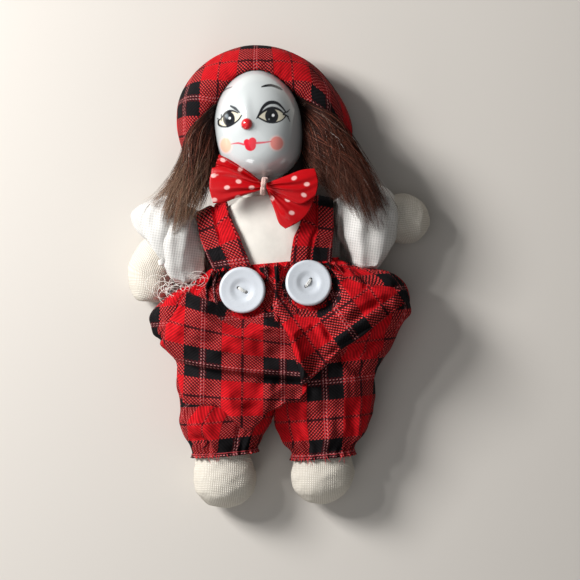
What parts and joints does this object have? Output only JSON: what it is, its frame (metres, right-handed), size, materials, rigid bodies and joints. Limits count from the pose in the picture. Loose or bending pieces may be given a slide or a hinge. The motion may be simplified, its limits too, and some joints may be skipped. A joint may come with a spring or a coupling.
{
  "type": "porcelain clown doll",
  "caption": "Small clown doll lying on its back, with a glazed porcelain head, soft jointed limbs, plaid beret and trousers, dotted bow and gauze sleeves.",
  "frame": {"origin": "on the floor under the seat of the trousers, in the flat face back_rest", "axes": "+Z out of the chest, +Y from the feet to the head, +X to the doll's own left"},
  "size_m": [0.0963, 0.1452, 0.0327],
  "materials": {
    "porcelain": "white glaze with a painted face",
    "plaid": "red and black woven plaid",
    "cotton": "plain cream cotton",
    "knit": "fine cream stocking knit",
    "gauze": "thin white gauze",
    "satin": "red satin ribbon with pale dots",
    "cord": "pale pink cord",
    "hair": "brown synthetic hair",
    "button": "milky white, bare",
    "thread": "white sewing thread",
    "filling": "polyester fibre filling",
    "elastic": "flat woven elastic"
  },
  "bodies": {
    "torso": {"body_bag": "cotton", "body_stuffing": "filling", "trousers_seat": "plaid", "trousers_blouse": "plaid", "waist_elastic": "elastic", "strap_right": "plaid", "strap_left": "plaid", "button_right": "button", "button_left": "button", "button_thread_right": "thread", "button_thread_left": "thread"},
    "neck": {"neck_cuff": "cotton", "neck_cord": "thread", "bow_loop_right": "satin", "bow_loop_left": "satin", "bow_tail_right": "satin", "bow_tail_left": "satin", "bow_tie": "cord"},
    "head": {"porcelain_head": "porcelain", "wig_cap": "hair", "wig_lock_right": "hair", "wig_lock_left": "hair", "beret_crown": "plaid", "beret_underside": "plaid", "beret_headband": "plaid"},
    "shoulder_right": {"shoulder_knot_right": "thread"},
    "arm_right": {"arm_right": "knit", "arm_stuffing_right": "filling", "sleeve_right": "gauze"},
    "shoulder_left": {"shoulder_knot_left": "thread"},
    "arm_left": {"arm_left": "knit", "arm_stuffing_left": "filling", "sleeve_left": "gauze"},
    "leg_right": {"leg_right": "knit", "leg_stuffing_right": "filling", "trouser_leg_right": "plaid", "hem_gather_right": "thread"},
    "leg_left": {"leg_left": "knit", "leg_stuffing_left": "filling", "trouser_leg_left": "plaid", "hem_gather_left": "thread"}
  },
  "joints": [
    {"name": "neck_nod", "type": "hinge", "parent": "torso", "child": "neck", "pos_m": [0, 0.0375, 0.0155], "axis": [1, 0, 0], "range_deg": [-12, 6], "deforming": ["wig_lock_right", "wig_lock_left"]},
    {"name": "head_turn", "type": "hinge", "parent": "neck", "child": "head", "pos_m": [0, 0.0375, 0.0155], "axis": [0, 1, 0], "range_deg": [-35, 35], "deforming": ["wig_lock_right", "wig_lock_left"]},
    {"name": "arm_right_swing", "type": "hinge", "parent": "torso", "child": "shoulder_right", "pos_m": [-0.0265, 0.0345, 0.012], "axis": [0, 0, -1], "range_deg": [0, 105], "deforming": ["sleeve_right", "wig_lock_right"]},
    {"name": "arm_right_lift", "type": "hinge", "parent": "shoulder_right", "child": "arm_right", "pos_m": [-0.0265, 0.0345, 0.012], "axis": [-0.9226, 0.3858, 0], "range_deg": [-15, 80], "deforming": ["sleeve_right", "wig_lock_right"]},
    {"name": "arm_left_swing", "type": "hinge", "parent": "torso", "child": "shoulder_left", "pos_m": [0.0265, 0.0345, 0.012], "axis": [0, 0, 1], "range_deg": [-20, 68], "deforming": ["sleeve_left", "wig_lock_left"]},
    {"name": "arm_left_lift", "type": "hinge", "parent": "shoulder_left", "child": "arm_left", "pos_m": [0.0265, 0.0345, 0.012], "axis": [-0.2529, -0.9675, 0], "range_deg": [-15, 80], "deforming": ["sleeve_left", "wig_lock_left"]},
    {"name": "hip_right", "type": "hinge", "parent": "torso", "child": "leg_right", "pos_m": [-0.0102, -0.02, 0.01], "axis": [-1, 0, 0], "range_deg": [-15, 80], "deforming": ["trouser_leg_right", "trousers_blouse"]},
    {"name": "hip_left", "type": "hinge", "parent": "torso", "child": "leg_left", "pos_m": [0.0102, -0.02, 0.01], "axis": [-1, 0, 0], "range_deg": [-15, 80], "deforming": ["trouser_leg_left", "trousers_blouse"]}
  ]
}
